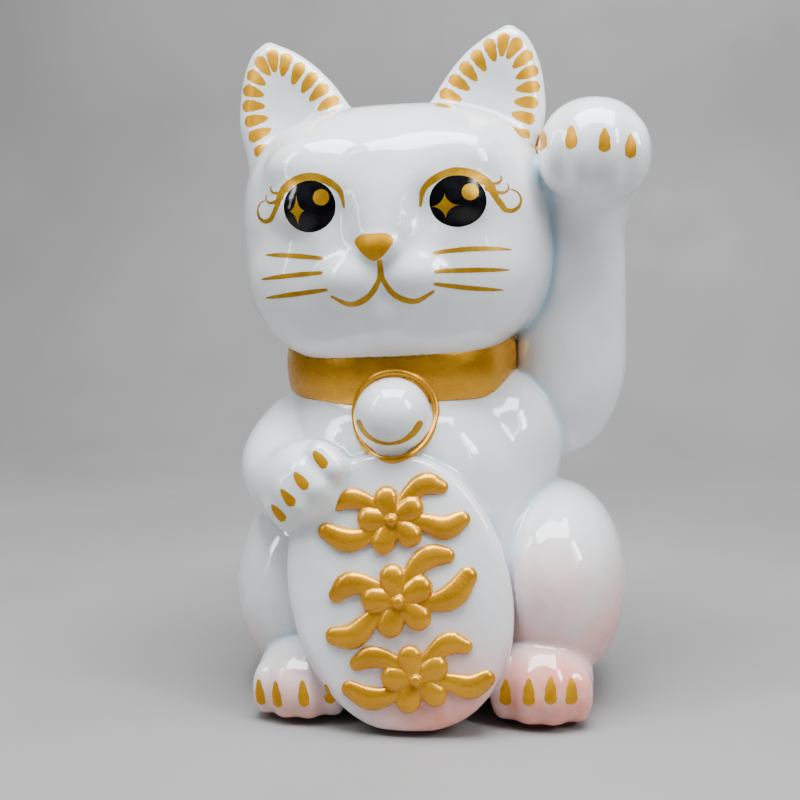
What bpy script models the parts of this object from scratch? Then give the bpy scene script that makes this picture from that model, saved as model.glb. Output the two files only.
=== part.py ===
"""Beckoning cat money bank in glazed porcelain, built from its separately cast pieces.

Frame: +Z up, the cat faces -Y, origin at the bottom centre of the overall box.
Left and right are the cat's own, so its left side is at +X.
Sizes below are millimetres; Blender's own units here are metres.
Every form is drawn about the cat's axis, and one empty then carries all of them
to the origin. Where two castings meet, the later one is cut by the earlier one.
"""

import math

import bmesh
import bpy
from mathutils import Euler, Matrix, Vector

# ---------------------------------------------------------------- driving dimensions, mm
MM = 0.001
GAP = 0.3                    # clearance between castings that touch
WALL = 4.0                   # thickness of the cast shells
ARM_WALL = 6.5               # thicker, so the arm stays closed where it lies on the head
AXIS_X, AXIS_Y = -11.5, 3.5  # where the cat's axis stands in the row frame
PAD_TOP = 1.6                # the pads lift the porcelain this far off the table
BASE_Z = PAD_TOP + GAP       # flat underside of the porcelain
FLOOR_Z = BASE_Z + 6.0       # inner floor of the bank

HEAD_PIVOT = Vector((0, 0, 105))      # the head, ears and collar tilt about this point
HEAD_ROLL = math.radians(-3)          # top of the head leans to the cat's right
HEAD_CENTRE, HEAD_RADII = (0.6, -2, 145.5), (49.2, 43, 41)
HEAD_POWER, HEAD_DEPTH_POWER = 2.8, 2.25   # outline seen from the front, and front to back
MUZZLE = (0, -36, 132), (22, 11, 14)     # centre and radii of the swelling round the mouth
NECK_HOLE_R = 24.0

# Torso stations from the base to the neck: height, centre x, centre y, half width, half depth.
TORSO = (
    (BASE_Z, 7, 2, 42, 42),
    (8, 7, 1, 46.5, 46.5),
    (25, 6, 0, 49.5, 49.5),
    (45, 4.5, -1, 49, 48),
    (62, 2.5, -2, 47.5, 45),
    (78, 1.5, -2, 44.5, 42),
    (88, 0.5, -1, 40, 38),
    (94, 0, 0, 35.5, 34.5),
    (100, 0, 0, 33, 32),
    (119, 0, 0, 33, 32),
)
TORSO_POWER = 2.2

SLOT = {"width": 36, "height": 5.4, "z": 81}          # coin slot through the back
BORE_R, RECESS_R, RECESS_DEPTH = 18.0, 23.0, 3.4      # stopper's seat in the base

# Ear: centre x, height, half width, half thickness and centre y, from inside the head to the tip.
EAR_ROWS = (
    (25.0, 160.0, 22.0, 10.0, 1.0),
    (27.0, 172.0, 21.2, 9.0, 1.0),
    (29.7, 182.0, 20.2, 7.8, 1.6),
    (32.0, 189.0, 17.8, 6.8, 2.4),
    (34.0, 196.0, 14.9, 5.8, 3.2),
    (35.9, 202.0, 11.2, 4.8, 3.8),
    (37.7, 206.5, 7.0, 4.0, 4.2),
    (38.9, 209.6, 2.8, 2.0, 4.4),
)
EAR_SCOOP = (32.5, -9.2, 188), (14.2, 8.6, 17.6)     # centre and radii of the hollow in its front

# Arms: x, y, z and radius at each station of the limb's centre line.
RAISED_ARM = (
    (46, 3, 80, 9),
    (54, 1, 87, 12.2),
    (57.6, 0, 99, 14.5),
    (58.2, -1, 115, 14.4),
    (58.6, -2, 132, 13.4),
    (58.6, -3, 147, 12.8),
    (59.4, -6, 158, 14.0),
)
RAISED_PAW = (60.3, -14, 170), (16.8, 20, 16.8)     # centre and radii
PLAQUE_ARM = (
    (-25, -4, 88, 11),
    (-32, -14, 81, 13.2),
    (-35, -26, 74, 13.4),
    (-31, -38, 70, 12.6),
    (-23, -46, 70, 12.3),
)

# Haunches and feet: centre and radii.
HAUNCHES = {
    "haunch_left": ((49, -11, 35), (22.8, 37, 32)),
    "haunch_right": ((-32, -9, 33), (20.5, 35, 30)),
}
FEET = {
    "foot_left": ((45.6, -39, 10), (15, 18, 12.8)),
    "foot_right": ((-26, -40.4, 10), (14.8, 18.3, 12.8)),
}
TAIL_CENTRE, TAIL_RADII = (26, 48, 15), (12, 10, 10)

# Oval plaque: the middle of its front, half height, half width, thickness, lean and tilt.
PLAQUE_CENTRE = Vector((4.5, -57, 41.5))
PLAQUE_HALF_HEIGHT, PLAQUE_HALF_WIDTH, PLAQUE_DEPTH = 41.5, 32.5, 12.0
PLAQUE_LEAN = math.radians(-10)       # the top leans back on the belly
PLAQUE_TILT = math.radians(-16)       # the top tilts to the cat's right
PLAQUE_DOME, PLAQUE_POWER = 2.2, 2.15  # crown of the front face, and its outline
RIB_SINK = 0.9                        # how deep the motifs' ribs sit in the plaque's face

# The plaque's motifs: centre on the plaque, side and size; and their strokes before placing.
ORNAMENTS = {
    "spray_top": ((4, 21), -1, 0.93),
    "spray_middle": ((0, -2), 1, 1.0),
    "spray_bottom": ((-1, -25), -1, 0.93),
}
PETAL = ((1.2, 2.2), (4.8, 3.2), (6.9, 3.6))     # distance from the blossom's middle, half width
LEAVES = (
    [(-2, -0.8, 1.8), (-9.4, -3.2, 2.2), (-15.5, -6.4, 3.2), (-21.5, -5.2, 2.1)],
    [(-2, 1.5, 1.8), (-7.5, 6.4, 2.2), (-13, 8.4, 2.9), (-17.5, 6.2, 1.8)],
    [(2, -0.6, 1.8), (9.6, -2.8, 2.2), (15.8, -2.2, 3.2), (21.6, 2.0, 2.1)],
    [(2, 1.5, 1.8), (6.6, 7.6, 2.2), (12, 10.2, 2.8), (17, 9.2, 1.8)],
)

COLLAR = {"outer": (37.4, 36.4), "z": (93.5, 114)}
BELL_CENTRE, BELL_R = Vector((1.5, -44, 91.8)), 11.4
BELL_RING_R, BELL_RING_WIRE = 12.3, 1.0

PAD_R = 5.0
PADS = ((-22, -38), (44, -38), (-24, 22), (40, 22))

PORCELAIN = ((0.86, 0.86, 0.87, 1), 0.12, 0.0)
GILDING = ((0.72, 0.42, 0.05, 1), 0.32, 0.55)
RUBBER = ((0.62, 0.62, 0.60, 1), 0.6, 0.0)


# ---------------------------------------------------------------- helpers
def clear_scene():
    for obj in list(bpy.data.objects):
        bpy.data.objects.remove(obj)


def material(name, look):
    colour, roughness, metallic = look
    made = bpy.data.materials.new(name)
    made.use_nodes = True
    shader = made.node_tree.nodes["Principled BSDF"]
    shader.inputs["Base Color"].default_value = colour
    shader.inputs["Roughness"].default_value = roughness
    shader.inputs["Metallic"].default_value = metallic
    return made


def new_object(name, bm):
    """An object from a bmesh drawn in millimetres, with its faces pointing out."""
    bmesh.ops.scale(bm, vec=(MM, MM, MM), verts=bm.verts)
    bmesh.ops.recalc_face_normals(bm, faces=bm.faces)
    mesh = bpy.data.meshes.new(name)
    bm.to_mesh(mesh)
    bm.free()
    mesh.shade_smooth()
    mesh.set_sharp_from_angle(angle=math.radians(40))
    obj = bpy.data.objects.new(name, mesh)
    bpy.context.scene.collection.objects.link(obj)
    return obj


def combine(obj, other, operation):
    """Applies a Boolean of obj with other, which is then removed."""
    boolean = obj.modifiers.new(operation.title(), "BOOLEAN")
    boolean.operation = operation
    boolean.solver = "EXACT"
    boolean.object = other
    graph = bpy.context.evaluated_depsgraph_get()
    mesh = bpy.data.meshes.new_from_object(obj.evaluated_get(graph))
    obj.modifiers.clear()
    obj.data = mesh
    bpy.data.objects.remove(other)
    return obj


def cut(obj, *others):
    for other in others:
        combine(obj, other, "DIFFERENCE")
    return obj


def join(obj, *others):
    for other in others:
        combine(obj, other, "UNION")
    return obj


def head_tilt():
    """The lean of the head as a matrix about its pivot."""
    turn = Matrix.Rotation(HEAD_ROLL, 4, "Y")
    return Matrix.Translation(HEAD_PIVOT) @ turn @ Matrix.Translation(-HEAD_PIVOT)


def superellipsoid(name, centre, radii, power=2.15, grow=0.0, place=None, segments=24, depth=None):
    """A rounded body: power 2 is an ellipsoid and more is boxier; depth is the power along Y."""
    bm = bmesh.new()
    bmesh.ops.create_uvsphere(bm, u_segments=segments, v_segments=segments // 2, radius=1)
    depth = depth or power
    for vert in bm.verts:
        x, y, z = (abs(c) for c in vert.co)
        length = ((x**power + z**power) ** (depth / power) + y**depth) ** (1 / depth)
        for axis in range(3):
            vert.co[axis] *= (radii[axis] + grow) / length
    bm.transform(Matrix.Translation(centre))
    if place:
        bm.transform(place)
    return new_object(name, bm)


def bridge_rings(name, rings, place=None):
    """A closed solid through rings of points, capped at both ends."""
    bm = bmesh.new()
    loops = []
    for ring in rings:
        verts = [bm.verts.new(point) for point in ring]
        loops.append([bm.edges.new((a, b)) for a, b in zip(verts, verts[1:] + verts[:1])])
    for low, high in zip(loops, loops[1:]):
        bmesh.ops.bridge_loops(bm, edges=low + high)
    for end in (loops[0], loops[-1]):
        bmesh.ops.contextual_create(bm, geom=end)
    if place:
        bm.transform(place)
    return new_object(name, bm)


def smooth_stations(stations, steps):
    """More stations between the given ones, on a Catmull-Rom curve through them."""
    rows = [Vector(s) for s in stations]
    rows = [rows[0] * 2 - rows[1]] + rows + [rows[-1] * 2 - rows[-2]]
    found = []
    for a, b, c, d in zip(rows, rows[1:], rows[2:], rows[3:]):
        for step in range(steps):
            t = step / steps
            found.append(
                0.5 * (2 * b + (c - a) * t + (2 * a - 5 * b + 4 * c - d) * t**2
                       + (3 * b - a - 3 * c + d) * t**3)
            )
    return found + [rows[-2]]


def superellipse(rx, ry, power, sides):
    """Points of a superellipse in a plane, going round once."""
    points = []
    for side in range(sides):
        angle = math.tau * side / sides
        x, y = math.cos(angle), math.sin(angle)
        size = (abs(x) ** power + abs(y) ** power) ** (-1 / power)
        points.append((x * size * rx, y * size * ry))
    return points


def sweep(name, stations, grow=0.0, sides=16, steps=2, place=None):
    """A limb: round sections along a centre line, with domed ends."""
    path = smooth_stations(stations, steps)
    first, last = path[0].copy(), path[-1].copy()
    centres = [Vector(p[:3]) for p in path]
    radii = [p[3] + grow for p in path]
    start, end = (centres[0] - centres[1]).normalized(), (centres[-1] - centres[-2]).normalized()
    dome = [math.radians(a) for a in (72, 48, 24)]
    for tip, way, spot, radius in ((0, start, first, radii[0]), (-1, end, last, radii[-1])):
        rows = [(Vector(spot[:3]) + way * radius * math.sin(a), radius * math.cos(a)) for a in dome]
        if tip == 0:
            centres = [row[0] for row in rows] + centres
            radii = [row[1] for row in rows] + radii
        else:
            centres += [row[0] for row in reversed(rows)]
            radii += [row[1] for row in reversed(rows)]
    rings = []
    across = start.orthogonal().normalized()
    for index, (centre, radius) in enumerate(zip(centres, radii)):
        before, after = centres[max(index - 1, 0)], centres[min(index + 1, len(centres) - 1)]
        along = (after - before).normalized()
        across = (across - along * across.dot(along)).normalized()
        up = along.cross(across)
        angles = [math.tau * s / sides for s in range(sides)]
        rings.append([centre + (across * math.cos(a) + up * math.sin(a)) * radius for a in angles])
    return bridge_rings(name, rings, place)


# ---------------------------------------------------------------- forms that also serve as cutters
def torso_form(name, grow=0.0, bottom=None, sides=28, steps=2):
    """The torso's rounded body, grown or shrunk all round."""
    rows = smooth_stations(TORSO, steps)
    if bottom is not None:
        rows = [r for r in rows if r[0] > bottom + 1]
        base = smooth_stations(TORSO, steps)[0]
        rows = [Vector((bottom, *rows[0][1:3], rows[0][3] * 0.93, rows[0][4] * 0.93))] + rows
        rows[0][1:3] = base[1:3]
    elif grow > 0:
        rows = [Vector((rows[0][0] - 10, *rows[0][1:]))] + rows
    rings = []
    for z, cx, cy, rx, ry in rows:
        outline = superellipse(rx + grow, ry + grow, TORSO_POWER, sides)
        rings.append([(cx + x, cy + y, z) for x, y in outline])
    return bridge_rings(name, rings)


def head_form(name, grow=0.0, segments=28):
    return superellipsoid(
        name, HEAD_CENTRE, HEAD_RADII, HEAD_POWER, grow, head_tilt(), segments, HEAD_DEPTH_POWER
    )


def plaque_place():
    """From the plaque's own plane, x across and z up its face and -y out of it, to the cat."""
    turn = Matrix.Rotation(PLAQUE_LEAN, 4, "X") @ Matrix.Rotation(PLAQUE_TILT, 4, "Y")
    return Matrix.Translation(PLAQUE_CENTRE) @ turn


def plaque_front(x, z):
    """How far the front of the plaque lies behind its own plane at a point of its face."""
    share = (abs(x / PLAQUE_HALF_WIDTH) ** PLAQUE_POWER
             + abs(z / PLAQUE_HALF_HEIGHT) ** PLAQUE_POWER) ** (1 / PLAQUE_POWER)
    return -PLAQUE_DOME + 1.5 * PLAQUE_DOME * share**2


def plaque_form(name, grow=0.0, sides=36):
    """The oval slab, with a crowned front and a rounded rim."""
    rows = [(PLAQUE_DEPTH + grow, 1.0), (5.4, 1.0), (3.6, 0.99), (2.0, 0.965), (1.1, 0.94)]
    for share in (0.88, 0.72, 0.42, 0.12):
        rows.append((plaque_front(share * PLAQUE_HALF_WIDTH, 0), share))
    rings = []
    for index, (y, share) in enumerate(rows):
        outline = superellipse(PLAQUE_HALF_WIDTH * share + grow, PLAQUE_HALF_HEIGHT * share + grow,
                               PLAQUE_POWER, sides)
        front = grow if index else 0
        rings.append([(x, y - front, z) for x, z in outline])
    return bridge_rings(name, rings, plaque_place())


def collar_form(name, grow=0.0):
    """The collar's band, a bushing round the neck with a slightly swollen side."""
    low, high = COLLAR["z"]
    rx, ry = COLLAR["outer"]
    rings = []
    for share, swell in ((0, -1.2), (0.08, -0.3), (0.35, 0.3), (0.65, 0.3), (1, -0.6)):
        z = low - grow + (high - low + 2 * grow) * share
        outline = superellipse(rx + swell + grow, ry + swell + grow, 2, 36)
        rings.append([(x, y, z) for x, y in outline])
    return bridge_rings(name, rings, head_tilt())


def bell_form(name, grow=0.0):
    return superellipsoid(name, BELL_CENTRE, (BELL_R,) * 3, 2, grow)


def haunch_form(name, grow=0.0):
    centre, radii = HAUNCHES[name.removesuffix("_cutter")]
    return superellipsoid(name, centre, radii, 2.15, grow)


def raised_arm_form(name, grow=0.0, sides=16):
    arm = sweep(name, RAISED_ARM, grow, sides)
    paw = superellipsoid("paw", *RAISED_PAW, 2.15, grow, segments=sides + 4)
    return join(arm, paw)


def plaque_arm_form(name, grow=0.0):
    return sweep(name, PLAQUE_ARM, grow)


def cylinder(name, x, y, low, high, radius, sides=48):
    rings = [
        [(x + radius * math.cos(math.tau * s / sides), y + radius * math.sin(math.tau * s / sides), z)
         for s in range(sides)]
        for z in (low, high)
    ]
    return bridge_rings(name, rings)


def block(name, low, high):
    bm = bmesh.new()
    bmesh.ops.create_cube(bm, size=1)
    low, high = Vector(low), Vector(high)
    bmesh.ops.scale(bm, vec=high - low, verts=bm.verts)
    bmesh.ops.translate(bm, vec=(low + high) / 2, verts=bm.verts)
    return new_object(name, bm)


def under_base():
    """Everything below the flat underside of the porcelain."""
    return block("under", (-120, -120, -60), (120, 120, BASE_Z))


# ---------------------------------------------------------------- pieces
def torso_shell():
    """Hollow body with an open neck, a coin slot in the back and the stopper's bore."""
    shell = torso_form("torso_shell")
    cavity = torso_form("cavity", -WALL, bottom=FLOOR_Z, sides=20, steps=1)
    throat = cylinder("throat", 0, 0, 98, 125, NECK_HOLE_R + 3, 32)
    slot = block(
        "slot",
        (-SLOT["width"] / 2, 22, SLOT["z"] - SLOT["height"] / 2),
        (SLOT["width"] / 2, 70, SLOT["z"] + SLOT["height"] / 2),
    )
    base_x, base_y = TORSO[0][1:3]
    bore = cylinder("bore", base_x, base_y, -5, FLOOR_Z + 4, BORE_R)
    recess = cylinder("recess", base_x, base_y, -5, BASE_Z + RECESS_DEPTH, RECESS_R)
    return cut(shell, cavity, throat, slot, bore, recess, head_form("head_cutter", GAP))


def head_shell():
    """Hollow head, open below where it stands on the neck."""
    muzzle = superellipsoid("muzzle", *MUZZLE, 2, 0, head_tilt())
    shell = join(head_form("head_shell"), muzzle)
    cavity = head_form("head_cavity", -WALL, 20)
    hole = cylinder("neck_hole", 0, 0, 90, 125, NECK_HOLE_R, 32)
    return cut(shell, cavity, hole)


def ear(name, side):
    """A broad pointed ear with a scooped front, side +1 for the cat's left."""
    rings = []
    for x, z, width, thick, y in EAR_ROWS:
        outline = superellipse(width, thick, 2, 24)
        rings.append([(side * (x + across), y + deep, z) for across, deep in outline])
    centre, radii = EAR_SCOOP
    scoop = superellipsoid(
        "scoop", (side * centre[0], *centre[1:]), radii, 2, 0, head_tilt(), 20
    )
    return cut(bridge_rings(name, rings, head_tilt()), scoop, head_form("head_cutter", GAP))


def ears():
    return [ear("ear_left", 1), ear("ear_right", -1)]


def raised_arm():
    """The beckoning arm, hollow from the shoulder to the bent paw beside the ear."""
    return cut(
        raised_arm_form("raised_arm"),
        raised_arm_form("arm_hollow", -ARM_WALL, 10),
        torso_form("torso_cutter", GAP),
        head_form("head_cutter", GAP),
        haunch_form("haunch_left_cutter", GAP),
    )


def plaque_arm():
    """The other arm, with its paw over the plaque's upper edge."""
    return cut(
        plaque_arm_form("plaque_arm"),
        torso_form("torso_cutter", GAP),
        plaque_form("plaque_cutter", GAP),
        collar_form("collar_cutter", GAP),
        haunch_form("haunch_right_cutter", GAP),
    )


def haunch(name):
    """A thigh cast as a shell, open towards the torso that it is luted to."""
    centre, radii = HAUNCHES[name]
    made = haunch_form(name)
    hollow = superellipsoid("hollow", centre, radii, 2.15, -WALL, segments=16)
    hollow_floor = block("hollow_floor", (-120, -120, -60), (120, 120, BASE_Z + WALL))
    return cut(
        made,
        cut(hollow, hollow_floor),
        torso_form("torso_cutter", GAP),
        plaque_form("plaque_cutter", GAP),
        under_base(),
    )


def foot(name):
    """A hind foot, flat below, cut to lie against the thigh and the plaque."""
    centre, radii = FEET[name]
    made = superellipsoid(name, centre, radii, 2.2, segments=20)
    return cut(
        made,
        torso_form("torso_cutter", GAP),
        haunch_form(name.replace("foot", "haunch") + "_cutter", GAP),
        plaque_form("plaque_cutter", GAP),
        under_base(),
    )


def tail():
    made = superellipsoid("tail", TAIL_CENTRE, TAIL_RADII, 2, segments=20)
    return cut(made, torso_form("torso_cutter", GAP), under_base())


def koban_plaque():
    """The oval plaque, whose back follows the belly."""
    made = plaque_form("koban_plaque")
    return cut(made, torso_form("torso_cutter", GAP), under_base())


def blossom_spray(side, size):
    """Brush strokes of a five-petalled blossom between long leaves; side -1 mirrors it.

    Each stroke is a list of points on the plaque: across, up and half thickness.
    """
    strokes = []
    for petal in range(5):
        angle = math.radians(90 + 72 * petal)
        across, up = math.cos(angle), math.sin(angle)
        strokes.append([(r * across, r * up, half) for r, half in PETAL])
    strokes += LEAVES
    return [[(side * size * x, size * z, size * half) for x, z, half in s] for s in strokes]


def ornament(name, centre, side, size):
    """One raised motif on the plaque, as rounded ribs of slip under gilding."""
    made = None
    for stroke in blossom_spray(side, size):
        stations = []
        for x, z, half in stroke:
            x, z = x + centre[0], z + centre[1]
            stations.append((x, plaque_front(x, z) + RIB_SINK, z, half))
        rib = sweep(name if made is None else "rib", stations, sides=10, steps=1,
                    place=plaque_place())
        made = rib if made is None else join(made, rib)
    return cut(made, plaque_form("plaque_cutter", GAP), plaque_arm_form("arm_cutter", GAP))


def ornaments():
    return [ornament(name, *placing) for name, placing in ORNAMENTS.items()]


def collar_band():
    """Band round the neck, between the head and the shoulders."""
    return cut(
        collar_form("collar_band"), torso_form("torso_cutter", GAP),
        head_form("head_cutter", GAP), bell_form("bell_cutter", GAP),
    )


def bell():
    made = bell_form("bell")
    return cut(
        made, torso_form("torso_cutter", GAP), plaque_form("plaque_cutter", GAP),
    )


def bell_ring():
    """The gilt wire of slip round the bell, where it meets the collar and chest."""
    rings = []
    for turn in range(32):
        angle = math.tau * turn / 32
        out = Vector((math.cos(angle), 0, math.sin(angle)))
        ring = []
        for side in range(8):
            a = math.tau * side / 8
            offset = out * (BELL_RING_R + BELL_RING_WIRE * math.cos(a))
            ring.append(offset + Vector((0, BELL_RING_WIRE * 1.6 * math.sin(a), 0)))
        rings.append(ring)
    bm = bmesh.new()
    loops = [[bm.verts.new(point) for point in ring] for ring in rings]
    for loop, after in zip(loops, loops[1:] + loops[:1]):
        for side in range(8):
            nearby = (side + 1) % 8
            bm.faces.new((loop[side], loop[nearby], after[nearby], after[side]))
    lean = Matrix.Rotation(math.radians(14), 4, "X")
    bm.transform(Matrix.Translation(BELL_CENTRE + Vector((0, 1.0, 0))) @ lean)
    made = new_object("bell_ring", bm)
    return cut(
        made, bell_form("bell_cutter", GAP), collar_form("collar_cutter", GAP),
        torso_form("torso_cutter", GAP), plaque_form("plaque_cutter", GAP),
    )


def base_stopper():
    """Soft rubber stopper: a flange in the recess, a hollow plug in the bore and a pull bar."""
    base_x, base_y = TORSO[0][1:3]
    flange_top = BASE_Z + RECESS_DEPTH - GAP
    flange = cylinder("base_stopper", base_x, base_y, flange_top - 1.8, flange_top, RECESS_R - 1)
    plug = cylinder("plug", base_x, base_y, flange_top - 1, FLOOR_Z + 2.5, BORE_R - GAP)
    hollow = cylinder("hollow", base_x, base_y, flange_top - 4, FLOOR_Z + 0.5, BORE_R - 3)
    pull = block(
        "pull",
        (base_x - BORE_R + 2, base_y - 1.5, flange_top - 1.5),
        (base_x + BORE_R - 2, base_y + 1.5, FLOOR_Z + 1),
    )
    return join(cut(join(flange, plug), hollow), pull)


def pad(index):
    """A soft round pad under the base."""
    x, y = PADS[index]
    return cylinder(f"pad_{index + 1}", x, y, 0, PAD_TOP, PAD_R, 24)


def ear_paw_gap(left_ear):
    """Clears the left ear from the raised paw beside it."""
    return cut(left_ear, raised_arm_form("paw_cutter", GAP))


def build():
    clear_scene()
    porcelain = material("porcelain", PORCELAIN)
    gilding = material("gilding", GILDING)
    rubber = material("rubber", RUBBER)
    left_ear, right_ear = ears()
    white = [
        torso_shell(), head_shell(), ear_paw_gap(left_ear), right_ear, raised_arm(),
        plaque_arm(), haunch("haunch_left"), haunch("haunch_right"), foot("foot_left"),
        foot("foot_right"), tail(), koban_plaque(), bell(),
    ]
    gold = [collar_band(), bell_ring(), *ornaments()]
    soft = [base_stopper(), *(pad(index) for index in range(len(PADS)))]
    axis = bpy.data.objects.new("cat_axis", None)
    axis.location = (AXIS_X * MM, AXIS_Y * MM, 0)
    bpy.context.scene.collection.objects.link(axis)
    for group, finish in ((white, porcelain), (gold, gilding), (soft, rubber)):
        for obj in group:
            obj.data.materials.clear()
            obj.data.materials.append(finish)
            obj.parent = axis


build()
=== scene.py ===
"""Beckoning cat in glazed porcelain: surfaces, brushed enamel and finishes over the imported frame.

Sculpting is done in the cat's own frame, in millimetres: +Z up, the cat faces -Y, its left at +X,
and the axis of its neck at x = y = 0. Each casting is a distance field. The glaze is one smooth
skin over all of them, and each casting's piece is the part of that skin which belongs to it.
"""

import math

import bpy
import numpy as np
from mathutils import Matrix, Vector


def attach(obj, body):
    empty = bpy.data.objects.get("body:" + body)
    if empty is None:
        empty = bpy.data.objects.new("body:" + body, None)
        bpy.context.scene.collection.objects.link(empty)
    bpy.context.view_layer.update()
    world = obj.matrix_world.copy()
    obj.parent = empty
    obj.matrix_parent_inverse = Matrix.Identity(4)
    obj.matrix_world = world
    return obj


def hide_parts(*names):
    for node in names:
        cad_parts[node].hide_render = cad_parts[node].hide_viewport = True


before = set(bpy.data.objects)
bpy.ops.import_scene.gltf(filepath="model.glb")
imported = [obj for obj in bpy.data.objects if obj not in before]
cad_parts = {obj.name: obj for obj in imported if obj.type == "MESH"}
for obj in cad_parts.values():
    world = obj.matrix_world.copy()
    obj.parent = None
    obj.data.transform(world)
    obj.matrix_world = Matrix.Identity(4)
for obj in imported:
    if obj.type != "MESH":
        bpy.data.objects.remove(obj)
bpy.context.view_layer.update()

# ---------------------------------------------------------------- driving dimensions, mm
MM = 0.001
AXIS = np.array((-11.5, 3.5, 0.0))          # the cat's axis in the row frame
GRID = 0.9                                   # spacing of the lattice the skin is meshed on
REACH = 9.0                                  # a casting's field is only worked out this near to it
CREASE = 3.2                                 # how wide the glaze fills where castings meet

BASE_Z = 1.9                                 # flat underside of the porcelain
HEAD_ROLL = math.radians(3)                  # the top of the head leans to the cat's right
HEAD_PIVOT_Z = 105.0
HEAD_CENTRE, HEAD_RADII = (1.1, -2, 145.3), (49.8, 43, 41.2)
HEAD_POWER, HEAD_DEPTH_POWER = 2.8, 2.25

TORSO = (    # height, centre x, centre y, half width, half depth
    (-10, 7, 2, 41.5, 41.5),
    (1.9, 7, 2, 42, 42),
    (8, 7, 1, 46.5, 46.5),
    (25, 6, 0, 49.5, 49.5),
    (45, 4.5, -1, 49, 48),
    (62, 2.5, -2, 47.5, 45),
    (78, 1.5, -2, 44.5, 42),
    (88, 0.5, -1, 40, 38),
    (94, 0, 0, 35.5, 34.5),
    (100, 0, 0, 33, 32),
    (119, 0, 0, 33, 32),
    (135, 0, 0, 33, 32),
)
TORSO_POWER = 2.2
EAR = (      # height, centre x, centre y, half width, half thickness
    (150.0, 23.0, 1.0, 22.0, 10.0),
    (160.0, 25.0, 1.0, 22.0, 10.0),
    (172.0, 27.0, 1.0, 21.2, 9.2),
    (182.0, 29.7, 1.6, 20.2, 8.0),
    (189.0, 32.0, 2.4, 17.8, 7.0),
    (196.0, 34.0, 3.2, 14.9, 6.0),
    (202.0, 35.9, 3.8, 11.2, 5.0),
    (206.5, 37.7, 4.2, 7.0, 4.2),
    (209.4, 38.9, 4.4, 2.6, 2.2),
    (212.0, 39.4, 4.4, 0.4, 0.4),
)
RAISED_ARM = (     # x, y, z and radius along the limb
    (46, 3, 80, 9),
    (54, 1, 87, 12.2),
    (57.6, 0, 99, 14.5),
    (58.2, -1, 115, 14.4),
    (58.6, -2, 132, 13.4),
    (58.6, -3, 147, 12.8),
    (59.4, -6, 158, 14.0),
)
PLAQUE_ARM = (
    (-25, -4, 88, 11),
    (-32, -14, 81, 13.2),
    (-35, -26, 74, 13.4),
    (-31, -38, 70, 12.4),
    (-24, -45, 70, 11.5),
)
PLAQUE_CENTRE = np.array((4.5, -57, 41.5))
PLAQUE_HALF_HEIGHT, PLAQUE_HALF_WIDTH, PLAQUE_DEPTH = 41.5, 32.5, 12.0
PLAQUE_LEAN, PLAQUE_TILT = math.radians(-10), math.radians(-16)
PLAQUE_DOME, PLAQUE_POWER = 2.2, 2.15
BELL_CENTRE, BELL_R = np.array((1.5, -44, 91.8)), 11.4

# Rounded forms, each a centre and three radii. Those of the head are in its own upright frame, and
# the paired ones are given for the left side.
CHEEK = (22, -21, 131), (21, 20, 18)
JAW = (0, -18.5, 123), (37, 25, 20.4)
BROW = (20, -30.6, 166), (14, 8, 8.5)
BESIDE_NOSE = (13.8, -52, 152.5), (8.2, 9.8, 12)     # carved away
EYEBALL = (22.3, -31.5, 153.6), (11.0, 11.2, 10.2)
CHIN = (0, -37, 124), (13, 8.5, 9)
MUZZLE_PAD = (8.4, -39.6, 132.2), (11.4, 9.6, 8.8)
NOSE_TIP = (0, -46.3, 141.6), (4.8, 3.6, 3.4)
NOSE_RIDGE = (       # x, y, z and radius
    (0, -35, 166, 6),
    (0, -37.5, 156, 7),
    (0, -40.5, 148, 6.5),
    (0, -43.6, 142.5, 5.2),
)
EAR_TIP_Z = 210.2
EAR_SCOOP = (32.5, -9.2, 188.5), (14.8, 9.4, 18.5)
NECK_TOP_Z = 128
SHOULDER = (35, -3, 79), (18, 25, 24)
CHEST = (9, -29, 72), (25, 15, 22)
RAISED_SWELL = (51, -1, 103), (14.5, 13, 24)
RAISED_PAW = (60.3, -14, 170), (16.6, 20, 16.8)
PLAQUE_PAW = (-23, -45.5, 70.5), (14, 11.5, 13.8)
HAUNCH_LEFT = (49.4, -11, 35), (23.8, 37, 32)
HAUNCH_RIGHT = (-32, -9, 33), (20.5, 35, 30)
FOOT_LEFT = (46.4, -38.2, 10.6), (16, 18, 14.4)
FOOT_RIGHT = (-26, -40.2, 10), (14.8, 18, 12.8)
TAIL = (26, 48, 15), (12, 10, 10)
RAISED_PAW_POWER, HIND_POWER = 2.25, 2.15            # how boxy the raised paw and the hind legs are

TOES = (-1.5, -0.5, 0.5, 1.5)                        # places of four toes, in pitches from the middle
RAISED_TOE_PITCH, FOOT_LEFT_PITCH, FOOT_RIGHT_PITCH = 7.7, 7.2, 6.8
PLAQUE_TOES = ((-13.8, -52.3, 76.3), (-18.6, -53.9, 70.8), (-22.8, -53.2, 65.4), (-26.8, -50.8, 60.6))


# ---------------------------------------------------------------- fields
def smin(a, b, k):
    """The lesser of two fields, rounded over where they are within k of each other."""
    h = np.maximum(k - np.abs(a - b), 0) / k
    return np.minimum(a, b) - h**3 * k / 6


def smax(a, b, k):
    return -smin(-a, -b, k)


def even(level, p, step=0.05):
    """A level set rescaled so that it grows by about one for each millimetre."""
    base = level(p)
    steepness = np.zeros(len(p))
    for axis in range(3):
        q = p.copy()
        q[:, axis] += step
        steepness += ((level(q) - base) / step) ** 2
    return base / np.sqrt(np.maximum(steepness, 1e-6))


def ellipsoid(p, centre, radii):
    q = (p - centre) / radii
    k0 = np.sqrt((q**2).sum(1))
    k1 = np.sqrt(((q / radii) ** 2).sum(1))
    return k0 * (k0 - 1) / np.maximum(k1, 1e-9)


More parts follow.
